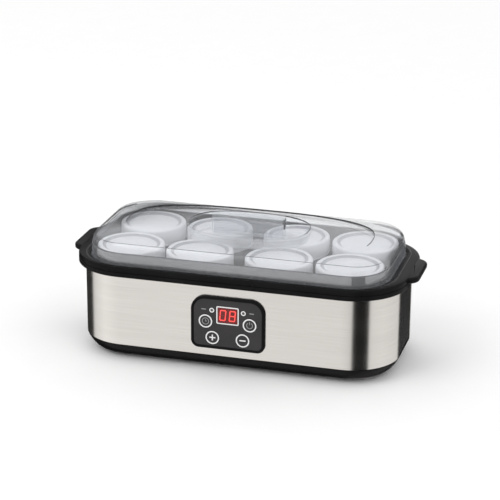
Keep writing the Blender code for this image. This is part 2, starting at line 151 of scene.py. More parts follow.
def arc(cx, cy, radius, start, steps, sweep=90.0):
    """Points along an arc, from a start angle through a sweep, in degrees."""
    found = []
    for i in range(steps + 1):
        angle = math.radians(start + sweep * i / steps)
        found.append((cx + radius * math.cos(angle), cy + radius * math.sin(angle)))
    return found


def between(a, b, steps):
    """Even points between two points, without the two."""
    return [
        (a[0] + (b[0] - a[0]) * i / steps, a[1] + (b[1] - a[1]) * i / steps)
        for i in range(1, steps)
    ]


def corners_of(half_x, half_y, radius, steps):
    """The four corner arcs of a rounded rectangle."""
    cx, cy = half_x - radius, half_y - radius
    return [arc(sx * cx, sy * cy, radius, start, steps) for sx, sy, start in QUARTERS]


def outline(half_x, half_y, radius, z):
    """Rounded rectangle at height z, with points along its sides as well."""
    corners = corners_of(half_x, half_y, radius, CORNER_STEPS)
    found = []
    for i, corner in enumerate(corners):
        found += corner + between(corner[-1], corners[(i + 1) % 4][0], SIDE_STEPS[i % 2])
    return [(x, y, z) for x, y in found]


def grown(grow, z):
    """The steel's outline, grown by some mm."""
    return outline(STEEL_X + grow, STEEL_Y + grow, STEEL_R + grow, z)


def oval(half_x, half_y, power, z):
    """Superellipse with its points in the directions of the cover's outline."""
    found = []
    for x, y, _ in outline(150.0, 69.5, 38.0, 0.0):
        angle = math.atan2(y, x)
        c = abs(math.cos(angle) / half_x) ** power
        s = abs(math.sin(angle) / half_y) ** power
        reach = (c + s) ** (-1.0 / power)
        found.append((reach * math.cos(angle), reach * math.sin(angle), z))
    return found


def panel_outline(grow, y):
    """The control panel's outline in the plane at y, grown by some mm."""
    half, low, high = PANEL_X + grow, PANEL_Z[0] - grow, PANEL_Z[1] + grow
    top, bottom = (corner + grow for corner in PANEL_CORNERS)
    found = arc(half - top, high - top, top, 0, CORNER_STEPS)
    found += arc(-half + top, high - top, top, 90, CORNER_STEPS)
    found += arc(-half + bottom, low + bottom, bottom, 180, CORNER_STEPS)
    found += arc(half - bottom, low + bottom, bottom, 270, CORNER_STEPS)
    return [(x, y, z) for x, z in found]


def loft(name, loops, ring=False, smooth=40.0):
    """Skin over loops of equal length. A ring joins the last loop to the first."""
    bm = bmesh.new()
    rows = [[bm.verts.new(Vector(p) * MM) for p in loop] for loop in loops]
    pairs = list(zip(rows, rows[1:])) + ([(rows[-1], rows[0])] if ring else [])
    for low, high in pairs:
        for i in range(len(low)):
            j = (i + 1) % len(low)
            bm.faces.new((low[i], low[j], high[j], high[i]))
    if not ring:
        bm.faces.new(list(reversed(rows[0])))
        bm.faces.new(rows[-1])
    return from_bm(name, bm, smooth)


def turned(name, profile, at, axis="Z", closed=False, steps=TURN_STEPS, smooth=40.0):
    """Turns a profile of (radius, distance) about Z or Y, then puts it at a point."""
    bm = bmesh.new()
    along = Vector((0, 0, 1)) if axis == "Z" else Vector((0, 1, 0))
    verts = [bm.verts.new((Vector((r, 0, 0)) + along * d) * MM) for r, d in profile]
    edges = [bm.edges.new(pair) for pair in zip(verts, verts[1:])]
    if closed:
        edges.append(bm.edges.new((verts[-1], verts[0])))
    turn = {"cent": (0, 0, 0), "axis": along, "angle": 2 * math.pi, "steps": steps}
    bmesh.ops.spin(bm, geom=verts + edges, use_merge=True, **turn)
    bmesh.ops.translate(bm, verts=bm.verts, vec=Vector(at) * MM)
    return from_bm(name, bm, smooth)


def drill(name, radius, start, end, at, axis="Z", steps=TURN_STEPS):
    """Cylinder to cut with, from one distance along the axis to another."""
    profile = [(0, start), (radius, start), (radius, end), (0, end)]
    return turned(name, profile, at, axis, steps=steps)


def block(name, low, high):
    """Box between two corners."""
    bm = bmesh.new()
    size = Vector(high) - Vector(low)
    place = Matrix.Translation((Vector(low) + size / 2) * MM) @ Matrix.Diagonal((*size * MM, 1))
    bmesh.ops.create_cube(bm, size=1.0, matrix=place)
    return from_bm(name, bm, 30.0)


def soften(item, width, segments=3, angle=35.0):
    """Rounds the sharp edges."""
    step = item.modifiers.new("soften", "BEVEL")
    step.width = width * MM
    step.segments = segments
    step.limit_method = "ANGLE"
    step.angle_limit = math.radians(angle)
    step.harden_normals = False
    return item


def settle(item):
    """Bakes an item's modifiers into its mesh."""
    graph = bpy.context.evaluated_depsgraph_get()
    mesh = bpy.data.meshes.new_from_object(item.evaluated_get(graph))
    item.modifiers.clear()
    item.data = mesh
    mesh.shade_smooth()
    mesh.set_sharp_from_angle(angle=math.radians(40.0))
    return item


def cut(item, cutters):
    """Cuts each cutter out of an item, then removes the cutters."""
    for cutter in cutters:
        step = item.modifiers.new("cut", "BOOLEAN")
        step.object = cutter
        step.operation = "DIFFERENCE"
        step.solver = "EXACT"
    settle(item)
    for cutter in cutters:
        bpy.data.objects.remove(cutter)
    return item


def copy_of(item, name, shift):
    """Second object on the same mesh, at a point."""
    made = link(name, item.data)
    made.location = Vector(shift) * MM
    return made


def piece(item, body, look, slot, *nodes):
    """Gives a piece its material and its body, and hides the CAD nodes that it stands for."""
    if look.name not in [m.name for m in item.data.materials if m]:
        item.data.materials.clear()
        item.data.materials.append(look)
    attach(item, body)
    if nodes:
        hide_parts(*nodes)
    return item


# ---- materials ----
def tree(name):
    """New material, with its nodes, the function that links them, and its main shader."""
    made = bpy.data.materials.new(name)
    made.use_nodes = True
    nodes = made.node_tree.nodes
    return made, nodes, made.node_tree.links.new, nodes["Principled BSDF"]


def noise_on(nodes, wire, scale, stretch=(1, 1, 1), detail=4.0):
    """Noise in the object's own coordinates, scaled per axis."""
    place = nodes.new("ShaderNodeTexCoord")
    mapping = nodes.new("ShaderNodeMapping")
    mapping.inputs["Scale"].default_value = stretch
    found = nodes.new("ShaderNodeTexNoise")
    found.inputs["Scale"].default_value = scale
    found.inputs["Detail"].default_value = detail
    wire(place.outputs["Object"], mapping.inputs["Vector"])
    wire(mapping.outputs["Vector"], found.inputs["Vector"])
    return found.outputs["Fac"]


def spread(nodes, wire, fac, low, high):
    """Stretches the middle of a noise to the range from low to high."""
    step = nodes.new("ShaderNodeMapRange")
    step.inputs["From Min"].default_value = 0.3
    step.inputs["From Max"].default_value = 0.7
    step.inputs["To Min"].default_value = low
    step.inputs["To Max"].default_value = high
    wire(fac, step.inputs["Value"])
    return step.outputs["Result"]


def two_tone(nodes, wire, fac, first, second):
    """Colour that goes from the first to the second with a noise."""
    ramp = nodes.new("ShaderNodeValToRGB")
    ramp.color_ramp.elements[0].position = 0.35
    ramp.color_ramp.elements[0].color = (*first, 1)
    ramp.color_ramp.elements[1].position = 0.65
    ramp.color_ramp.elements[1].color = (*second, 1)
    wire(fac, ramp.inputs["Fac"])
    return ramp.outputs["Color"]


def bump(nodes, wire, shader, fac, strength, depth):
    step = nodes.new("ShaderNodeBump")
    step.inputs["Strength"].default_value = strength
    step.inputs["Distance"].default_value = depth
    wire(fac, step.inputs["Height"])
    wire(step.outputs["Normal"], shader.inputs["Normal"])


def moulded(
    name, color, rough, grain=1500.0, depth=0.00002, specular=0.5, metal=0.0, vary=0.12
):
    """Moulded or cast surface: a fine grain, and slightly uneven colour and gloss."""
    made, nodes, wire, shader = tree(name)
    broad = noise_on(nodes, wire, 25.0)
    fine = noise_on(nodes, wire, grain, detail=2.0)
    dark = [c * (1 - vary) for c in color]
    light = [min(1.0, c * (1 + vary)) for c in color]
    wire(two_tone(nodes, wire, broad, dark, light), shader.inputs["Base Color"])
    wire(spread(nodes, wire, broad, rough * 0.88, rough * 1.12), shader.inputs["Roughness"])
    shader.inputs["Metallic"].default_value = metal
    shader.inputs["Specular IOR Level"].default_value = specular
    bump(nodes, wire, shader, fine, 0.25, depth)
    return made


def brushed(name):
    """Steel brushed along the length: long fine streaks, and gloss drawn out across them."""
    made, nodes, wire, shader = tree(name)
    streak = noise_on(nodes, wire, 1.0, (14.0, 14.0, 3200.0), detail=3.0)
    broad = noise_on(nodes, wire, 1.0, (5.0, 5.0, 90.0), detail=2.0)
    both = nodes.new("ShaderNodeMath")
    both.operation = "MULTIPLY_ADD"
    both.inputs[1].default_value = 0.75
    wire(streak, both.inputs[0])
    part = nodes.new("ShaderNodeMath")
    part.operation = "MULTIPLY"
    part.inputs[1].default_value = 0.25
    wire(broad, part.inputs[0])
    wire(part.outputs[0], both.inputs[2])
    fac = both.outputs[0]
    color = two_tone(nodes, wire, fac, (0.80, 0.775, 0.745), (0.90, 0.88, 0.85))
    wire(color, shader.inputs["Base Color"])
    wire(spread(nodes, wire, fac, 0.16, 0.26), shader.inputs["Roughness"])
    shader.inputs["Metallic"].default_value = 1.0
    shader.inputs["Anisotropic"].default_value = 0.6
    shader.inputs["Anisotropic Rotation"].default_value = 0.25
    tangent = nodes.new("ShaderNodeTangent")
    tangent.direction_type = "RADIAL"
    tangent.axis = "Z"
    wire(tangent.outputs["Tangent"], shader.inputs["Tangent"])
    bump(nodes, wire, shader, streak, 0.12, 0.00002)
    return made


def clear_wall(name, tint, haze, rough, ior=1.5):
    """Thin clear wall: see-through straight on, glossy at a glancing angle, a little hazy."""
    made, nodes, wire, shader = tree(name)
    through = nodes.new("ShaderNodeBsdfTransparent")
    through.inputs["Color"].default_value = (*tint, 1)
    gloss = nodes.new("ShaderNodeBsdfGlossy")
    gloss.inputs["Roughness"].default_value = rough
    gloss.inputs["Color"].default_value = (0.97, 0.98, 1.0, 1)
    facing = nodes.new("ShaderNodeFresnel")
    # Without the inverse index, a back face would reflect everything at a low angle.
    side = nodes.new("ShaderNodeNewGeometry")
    index = nodes.new("ShaderNodeMapRange")
    index.inputs["To Min"].default_value = ior
    index.inputs["To Max"].default_value = 1 / ior
    wire(side.outputs["Backfacing"], index.inputs["Value"])
    wire(index.outputs["Result"], facing.inputs["IOR"])
    mix = nodes.new("ShaderNodeMixShader")
    wire(facing.outputs["Fac"], mix.inputs["Fac"])
    wire(through.outputs["BSDF"], mix.inputs[1])
    wire(gloss.outputs["BSDF"], mix.inputs[2])
    shader.inputs["Base Color"].default_value = (0.9, 0.91, 0.93, 1)
    shader.inputs["Roughness"].default_value = 0.3
    veil = nodes.new("ShaderNodeMixShader")
    fine = noise_on(nodes, wire, 18.0)
    wire(spread(nodes, wire, fine, haze * 0.8, haze * 1.2), veil.inputs["Fac"])
    wire(mix.outputs["Shader"], veil.inputs[1])
    wire(shader.outputs["BSDF"], veil.inputs[2])
    wire(veil.outputs["Shader"], nodes["Material Output"].inputs["Surface"])
    return made


def glowing(name, color, strength):
    """Surface that gives off its own light."""
    made, nodes, wire, shader = tree(name)
    fine = noise_on(nodes, wire, 900.0)
    dim = [c * 0.85 for c in color]
    wire(two_tone(nodes, wire, fine, dim, color), shader.inputs["Emission Color"])
    shader.inputs["Base Color"].default_value = (*color, 1)
    shader.inputs["Emission Strength"].default_value = strength
    return made


LOOKS = {
    "black_gloss": moulded("black_satin", (0.0075, 0.0075, 0.008), 0.28, specular=0.06),
    "black_matte": moulded(
        "black_matte", (0.013, 0.013, 0.014), 0.55, grain=900, depth=0.00005, specular=0.12
    ),
    "brushed_steel": brushed("brushed_steel"),
    "aluminium": moulded("plain_aluminium", (0.72, 0.72, 0.73), 0.35, metal=1.0),
    "plated_steel": moulded("plated_steel", (0.55, 0.54, 0.50), 0.3, metal=1.0),
    "board_green": moulded("board_green", (0.015, 0.09, 0.035), 0.4, grain=400),
    "overlay_grey": moulded("overlay_grey", (0.034, 0.032, 0.034), 0.38, specular=0.3),
    "display_red": moulded("display_red", (0.13, 0.012, 0.012), 0.12, specular=0.5),
    "white_plastic": moulded("cap_white", (0.80, 0.80, 0.825), 0.34, vary=0.02, specular=0.5),
    "rubber": moulded("rubber", (0.02, 0.02, 0.02), 0.8, grain=700, depth=0.00008),
    "jar_glass": clear_wall("jar_glass", (0.95, 0.97, 0.97), 0.03, 0.02),
    "lid_clear": clear_wall("lid_clear", (0.98, 0.985, 0.99), 0.08, 0.04),
}
PRINT_WHITE = moulded("print_white", (0.80, 0.80, 0.80), 0.5, vary=0.03)
DIGIT_LIT = glowing("digit_lit", (1.0, 0.07, 0.06), 0.85)
DIGIT_DIM = moulded("digit_dim", (0.13, 0.012, 0.014), 0.3)
DIM_PRINT = moulded("dim_print", (0.30, 0.30, 0.31), 0.5, vary=0.05)
LED_OFF = moulded("led_unlit", (0.10, 0.09, 0.09), 0.2, vary=0.05)


def painted_edge_shade(name):
    """Near-black, partly see-through surface that paints the shade and dark refraction seen in
    the thick edges of the clear cover.
    """
    made, nodes, wire, shader = tree(name)
    fine = noise_on(nodes, wire, 60.0)
    color = two_tone(nodes, wire, fine, (0.01, 0.01, 0.012), (0.03, 0.03, 0.035))
    wire(color, shader.inputs["Base Color"])
    shader.inputs["Alpha"].default_value = 0.85
    shader.inputs["Roughness"].default_value = 0.12
    return made


# Painted shade for the thick edges of the clear cover and the grip bar.
EDGE_SHADE = painted_edge_shade("cover_painted_shade")
SKIRT = clear_wall("cover_skirt", (0.93, 0.94, 0.95), 0.05, 0.08, 2.2)
# Grey for the faces in each cap's ring groove: painted shade in the groove.
GROOVE_SHADE = moulded("cap_groove_shade", (0.46, 0.46, 0.49), 0.4, vary=0.02)
POLISH = moulded("black_polished", (0.012, 0.012, 0.012), 0.1, specular=1.0)


# ---- clear cover ----
def make_cover():
    """Skirt, domed top with a stepped oval, and an oval well, as one thin clear shell."""
    # outer: (half length, half width, corner radius, height) of rounded rectangles
    # top and below: (half length, half width, power, height) of ovals
    outer = [
        (LID_X, LID_Y, 40.9, LID_LOW),
        (LID_X - 0.5, LID_Y - 0.4, 40.5, 108.5),
        (LID_X - 1.0, LID_Y - 0.8, 40.1, 114.5),
        (LID_X - 1.9, LID_Y - 1.6, 39.6, 118.5),
        (LID_X - 2.5, LID_Y - 2.2, 39.2, 120.6),
        (LID_X - 3.3, LID_Y - 3.1, 38.8, 122.2),
        (LID_X - 4.3, LID_Y - 4.1, 38.2, 123.6),
        (LID_X - 5.6, LID_Y - 5.4, 37.4, 124.6),
        (LID_X - 7.6, LID_Y - 7.0, 36.4, 125.2),
        (LID_X - 10.5, LID_Y - 9.2, 35.4, 125.6),
    ]
    wall = COVER_WALL
    under = []
    for x, y, radius, z in outer:
        drop = wall if z > 119 else 0
        under.append((x - wall, y - wall, radius - wall, z - drop))
    top = [
        (129.5, 61.0, 2.7, 126.35),
        (128.0, 59.8, 2.7, 127.55),
        (118.0, 57.2, 2.6, 128.2),
        (100.0, 52.0, 2.5, 129.3),
        (82.0, 47.5, 2.45, 130.5),
        (66.0, 43.0, 2.4, 131.3),
        (63.2, 40.6, 2.4, 131.5),
        (61.6, 39.2, 2.4, 131.1),
        (60.9, 38.6, 2.4, 130.0),
        (60.4, 38.1, 2.4, 124.0),
        (59.6, 37.4, 2.4, 121.8),
        (57.4, 35.3, 2.4, 120.8),
        (30.0, 18.0, 2.2, 120.7),
    ]
    below = [
        (128.0, 59.6, 2.7, 124.5),
        (126.4, 58.4, 2.7, 125.7),
        (100.0, 51.5, 2.5, 127.4),
        (66.0, 43.8, 2.4, 129.4),
        (63.3, 41.0, 2.4, 128.9),
        (62.4, 40.1, 2.4, 124.0),
        (61.2, 39.0, 2.4, 120.2),
        (58.4, 36.4, 2.4, 119.0),
        (30.0, 18.0, 2.2, 118.9),
    ]
    loops = [oval(*row) for row in reversed(below)]
    loops += [outline(*row) for row in reversed(under)]
    loops += [outline(*row) for row in outer]
    loops += [oval(*row) for row in top]
    shell = loft("clear_cover", loops, smooth=50.0)
    piece(shell, "lid", LOOKS["lid_clear"], "lid_clear", "lid")
    # Dark strips along the step, the well, the front crease and the left and right edges are
    # painted shade for the dark refraction in the thick clear walls.
    path = oval(127.9, 59.7, 2.7, 127.4)
    crescent("cover_step_shade", [p for p in path if p[1] > -24], 1.5)
    path = oval(62.7, 40.2, 2.4, 131.9)
    strip("cover_well_shade", [p for p in path if p[1] > -14], 1.0)
    path = outline(149.0, 66.6, 30.0, 122.6)
    strip("cover_front_crease_shade", [p for p in path if p[1] < -45], 0.3)
    path = outline(LID_X - 3.8, LID_Y - 3.6, 38.6, 122.2)
    strip("cover_left_shade", [p for p in path if p[0] < -138 and p[1] > -25], 1.2)
    path = outline(LID_X - 2.9, LID_Y - 2.6, 39.0, 121.0)
    strip("cover_right_shade", [p for p in path if p[0] > 112 and p[1] > 8], 3.0)
    band = [(-0.5, LID_LOW + 0.3), (-0.5, 113.6), (-1.3, 113.6), (-1.3, LID_LOW + 0.3)]
    loops = [outline(LID_X - 0.5 + g, LID_Y - 0.4 + g, 40.5 + g, z) for g, z in band]
    piece(loft("cover_skirt_band", loops, ring=True), "lid", SKIRT, "lid_clear")


def painted_shade_band(name, points, size_at):
    """Painted shade: a dark band along part of a loop. size_at gives its thickness and height,
    0 to 1 along.
    """
    gap = max(range(len(points)), key=lambda i: math.dist(points[i], points[i - 1]))
    loops = []
    for i, (x, y, z) in enumerate(points[gap:] + points[:gap]):
        thick, rise = size_at((i + 0.5) / len(points))
        k = 1.0 - thick / math.hypot(x, y)
        loops.append([(x, y, z), (x * k, y * k, z), (x * k, y * k, z + rise), (x, y, z + rise)])
    piece(loft(name, loops), "lid", EDGE_SHADE, "lid_clear")


def strip(name, points, height):
    """Painted shade: a dark strip hanging from a path round the cover, deepest in the middle.
    """

    def size_at(along):
        share = math.sin(math.pi * along) ** 0.5
        return 0.15 + 0.5 * share, -0.12 - height * share

    painted_shade_band(name, points, size_at)


def crescent(name, points, height):
    """Painted shade: a dark strip standing on the cover along a path, taller towards its ends.
    """

    def size_at(along):
        taper = min(1.0, 9 * along, 9 - 9 * along)
        return 0.3, 0.5 + height * taper * (0.45 + 0.55 * (2 * along - 1) ** 2)

    painted_shade_band(name, points, size_at)


def grip_section(inset, y):
    """The bar's outline in the plane at y: upright ends with rounded upper corners."""
    half, top, low, radius = 38.0 - inset, GRIP_TOP - inset, 121.0, 4.5
    found = [(half, low)] + arc(half - radius, top - radius, radius, 0, 8)
    found += arc(-half + radius, top - radius, radius, 90, 8) + [(-half, low)]
    return [(x, y, z) for x, z in found]


def make_grip():
    """Clear hollow bar that stands in the well: an outer skin and a smaller one inside."""
    steps = [(-4.6, 1.1), (-4.3, 0.4), (-3.6, 0.0), (3.6, 0.0), (4.3, 0.4), (4.6, 1.1)]
    bar = loft("grip_bar", [grip_section(inset, y) for y, inset in steps], smooth=50.0)
    piece(bar, "lid", LOOKS["lid_clear"], "lid_clear")
    hollow = [(-2.9, 1.8), (2.9, 1.8)]
    core = loft("grip_hollow", [grip_section(inset, y) for y, inset in hollow])
    soften(core, 0.8)
    piece(core, "lid", LOOKS["lid_clear"], "lid_clear")
    # A thin dark slab at the bar's end is painted shade for its thick clear end wall.
    end = soften(block("grip_end_shade", (37.2, -4.2, 131.0), (37.9, 4.2, GRIP_TOP - 3.5)), 0.3)
    piece(end, "lid", EDGE_SHADE, "lid_clear")


# ---- jars ----
# (radius, height) of a cap and of a jar
CAP = [
    (0.0, 16.3),
    (12.0, 16.2),
    (21.0, 15.7),
    (25.8, 15.2),
    (27.2, 14.9),
    (28.2, 14.9),
    (28.7, 15.4),
    (29.1, 16.9),
    (29.8, 17.4),
    (31.9, 17.4),
    (32.9, 17.1),
    (33.7, 16.3),
    (34.0, 15.0),
    (33.9, 3.2),
    (33.4, 2.8),
    (33.4, 2.3),
    (34.0, 1.9),
    (34.0, 0.5),
    (33.6, 0.0),
    (32.4, 0.0),
    (32.4, 14.2),
    (0.0, 14.3),
]
JAR = [
    (0.0, 0.9),
    (20.0, 0.6),
    (23.5, 0.0),
    (26.5, 0.0),
    (29.2, 1.3),
    (30.5, 4.2),
    (30.5, 57.7),
    (30.2, 60.6),
    (29.4, 63.2),
    (29.2, 65.5),
    (29.2, 68.4),
    (30.3, 69.2),
    (30.3, 70.4),
    (29.2, 71.2),
    (29.2, 75.0),
    (30.3, 75.8),
    (30.3, 76.8),
    (29.2, 77.6),
    (29.2, 80.4),
    (28.6, 81.3),
    (27.4, 81.3),
    (26.8, 80.4),
    (26.8, 64.0),
    (28.0, 58.8),
    (28.0, 6.8),
    (26.6, 4.2),
    (23.5, 3.4),
    (0.0, 3.6),
]


def make_jars():
    """Eight jars and their lids, all copies of one jar and one lid."""
    first_jar = turned("glass_jar_1", JAR, (0, 0, 0), smooth=35.0, steps=64)
    first_cap = turned("white_cap_1", CAP, (0, 0, 0), smooth=35.0)
    first_cap.data.materials.append(LOOKS["white_plastic"])
    first_cap.data.materials.append(GROOVE_SHADE)
    # Faces in the ring groove get the grey second material: painted shade in the groove.
    for face in first_cap.data.polygons:
        away = math.hypot(face.center.x, face.center.y) / MM
        in_shaded_groove = 26.0 < away < 28.9 and face.center.z > 14.6 * MM
        face.material_index = int(in_shaded_groove)
    for i in range(1, 9):
        cx, cy, _ = centre(f"jar_{i}")
        jar_at = (cx, cy, lows(f"jar_{i}")[2])
        cap_at = (cx, cy, lows(f"jar_lid_{i}")[2])
        if i == 1:
            jar, cap = first_jar, first_cap
            jar.location = Vector(jar_at) * MM
            cap.location = Vector(cap_at) * MM
        else:
            jar = copy_of(first_jar, f"glass_jar_{i}", jar_at)
            cap = copy_of(first_cap, f"white_cap_{i}", cap_at)
        piece(jar, f"jar_{i}", LOOKS["jar_glass"], "jar_glass", f"jar_{i}")
        piece(cap, f"jar_lid_{i}", LOOKS["white_plastic"], "white_plastic", f"jar_lid_{i}")


# ---- rim, ears, tub ----
def make_rim():
    """Outer flange with a step line, lid groove, upstanding collar, and a hollow lip below."""
    loops = [
        grown(6.7, 92.0),
        grown(RIM_GROW, 92.7),
        grown(RIM_GROW, 96.6),
        grown(RIM_GROW - 0.7, 97.0),
        grown(RIM_GROW - 0.7, 97.6),
        grown(RIM_GROW - 0.1, 98.0),
        grown(RIM_GROW - 0.1, 101.3),
        grown(RIM_GROW - 0.8, 102.6),
        grown(RIM_GROW - 2.0, 103.1),
        outline(158.0, 77.3, 43.6, 103.3),
        outline(157.4, 76.7, 43.0, 102.7),
        outline(156.6, 75.9, 42.2, 102.7),
        outline(156.0, 75.4, 41.6, 102.2),
        outline(156.0, 75.4, 41.6, 101.6),
        outline(151.5, 71.2, 37.4, 101.6),
        outline(151.5, 71.2, 37.4, COLLAR_TOP - 0.6),
        outline(151.1, 70.9, 37.0, COLLAR_TOP),
        outline(150.3, 70.5, 36.4, COLLAR_TOP),
        outline(149.9, 70.2, 36.0, COLLAR_TOP - 0.5),
        outline(149.9, 70.2, 36.0, 92.5),
        outline(147.9, 68.8, 33.6, 92.5),
        outline(147.9, 68.8, 33.6, 91.8),
        grown(1.9, 91.8),
        grown(1.9, 99.6),
        grown(5.4, 99.6),
        grown(5.4, 92.0),
    ]
    rim = loft("black_rim", loops, ring=True, smooth=32.0)
    piece(rim, "base", LOOKS["black_gloss"], "black_gloss", "top_rim")
    bead = [(math.cos(a) * 0.5, math.sin(a) * 0.5) for a in (k * math.pi / 4 for k in range(8))]
    loops = [outline(160.6 + g, 77.7 + g, 46.4 + g, 102.9 + d) for g, d in bead]
    piece(loft("rim_bead", loops, ring=True, smooth=60.0), "base", POLISH, "black_gloss")
    for side in (-1, 1):
        name = "grip_ear_left" if side < 0 else "grip_ear_right"
        loops = [ear_loop(side, *row) for row in EAR_LEVELS]
        piece(loft(name, loops, smooth=35.0), "base", LOOKS["black_gloss"], "black_gloss")


# (height, inset) up the ear's edge
EAR_LEVELS = (
    (96.7, 1.6),
    (97.1, 0.7),
    (97.9, 0.1),
    (100.8, 0.0),
    (101.9, 0.4),
    (102.6, 1.2),
    (102.8, 2.6),
)


def ear_loop(side, z, inset):
    """Ear outline at one height: a flared root, then a tongue with well rounded corners."""
    reach, half, radius = EAR_X - inset, EAR_Y - inset, EAR_CORNER
    curve = [(166.0, -half - 4.0), (168.6, -half - 1.2), (170.6, -half)]
    curve += arc(reach - radius, -half + radius, radius, 270, 10)
    points = curve + [(x, -y) for x, y in reversed(curve)]
    return [(side * x, y, z) for x, y in points]


def make_tub():
    """Dark tub with a rounded floor."""
    loops = [
        outline(143.2, 64.5, 29.2, 26.6),
        outline(146.3, 67.6, 32.2, 29.4),
        outline(147.1, 68.4, 33.0, 33.0),
        outline(147.1, 68.4, 33.0, 92.9),
        outline(149.5, 69.8, 35.4, 92.9),
        outline(149.5, 69.8, 35.4, 93.9),
        outline(146.0, 67.3, 31.9, 93.9),
        outline(146.0, 67.3, 31.9, 33.0),
        outline(145.0, 66.3, 31.0, 29.8),
        outline(142.8, 64.1, 28.8, 28.0),
    ]
    tub = soften(loft("dark_tub", loops, smooth=35.0), 0.3, 2)
    piece(tub, "base", LOOKS["black_matte"], "black_matte", "inner_tub")


# ---- body ----
def make_body():
    """Rounded base trim, recessed wall behind the steel, and a cheek at each end."""
    loops = [
        outline(154.4, 65.1, 40.6, BASE_LOW),
        grown(-8.1, 4.5),
        grown(-6.6, 6.0),
        grown(-4.8, 8.0),
        grown(-3.2, 10.2),
        grown(-1.7, 12.6),
        grown(-0.6, 15.0),
        grown(-0.1, 16.0),
        grown(-0.5, 16.4),
        grown(-1.2, 16.4),
        grown(-1.2, 91.0),
        grown(-3.6, 91.0),
        grown(-3.6, 18.0),
        outline(157.0, 68.0, 43.4, 9.6),
        outline(147.0, 58.0, 33.4, 9.6),
        outline(147.0, 58.0, 33.4, 6.8),
        outline(151.0, 62.0, 37.4, 6.8),
        outline(151.0, 62.0, 37.4, BASE_LOW),
    ]
    shell = loft("black_body", loops, ring=True, smooth=32.0)
    gland_hole = drill("gland_hole", GLAND_HOLE, 68, 78, gland_at(), "Y")
    cut(shell, [panel_cutter("body_opening"), gland_hole])
    piece(shell, "base", LOOKS["black_gloss"], "black_gloss", "base_housing")
    for side in (-1, 1):
        name = "cheek_left" if side < 0 else "cheek_right"
        profile = [(161.9, 16.5), (162.9, 17.2), (163.5, 24.0), (163.5, 90.6), (161.9, 90.6)]
        loops = [[(side * x, y, z) for x, z in profile] for y in (-CHEEK_Y, CHEEK_Y)]
        cheek = soften(loft(name, loops), 0.7, 3, 50.0)
        piece(cheek, "base", LOOKS["black_gloss"], "black_gloss")


def gland_at():
    """Where the cord gland's axis crosses the middle plane."""
    cx, _, cz = centre("cord_gland")
    return (cx, 0, cz)


def panel_cutter(name):
    """Cuts the hole that the panel goes through."""
    return loft(name, [panel_outline(-2.7, -79.0), panel_outline(-2.7, -69.8)])


def steel_path(inset):
    """The front sheet seen from above: a quarter turn, the long side, a quarter turn."""
    cx, cy, radius = STEEL_X - STEEL_R, STEEL_Y - STEEL_R, STEEL_R - inset
    left = arc(-cx, -cy, radius, 180, 24)
    right = arc(cx, -cy, radius, 270, 24)
    return left + between(left[-1], right[0], 12) + right


def make_steel():
    """Two brushed sheets, one round the front and one round the rear, with folded edges."""
    for name, side, node in (
        ("steel_front", 1, "steel_front_panel"),
        ("steel_rear", -1, "steel_rear_panel"),
    ):
        low, high = STEEL_Z
        loops = []
        for (ox, oy), (ix, iy) in zip(steel_path(0.0), steel_path(SHEET_WALL)):
            ex, ey = (ox * 0.75 + ix * 0.25, oy * 0.75 + iy * 0.25)
            loops.append(
                [
                    (ex, side * ey, low),
                    (ox, side * oy, low + SHEET_FOLD),
                    (ox, side * oy, high - SHEET_FOLD),
                    (ex, side * ey, high),
                    (ix, side * iy, high),
                    (ix, side * iy, low),
                ]
            )
        sheet = loft(name, loops, smooth=32.0)
        if side == 1:
            cut(sheet, [panel_cutter("steel_opening")])
        else:
            cut(sheet, [drill("gland_hole", GLAND_HOLE, 70, 78, gland_at(), "Y")])
        piece(sheet, "base", LOOKS["brushed_steel"], "brushed_steel", node)


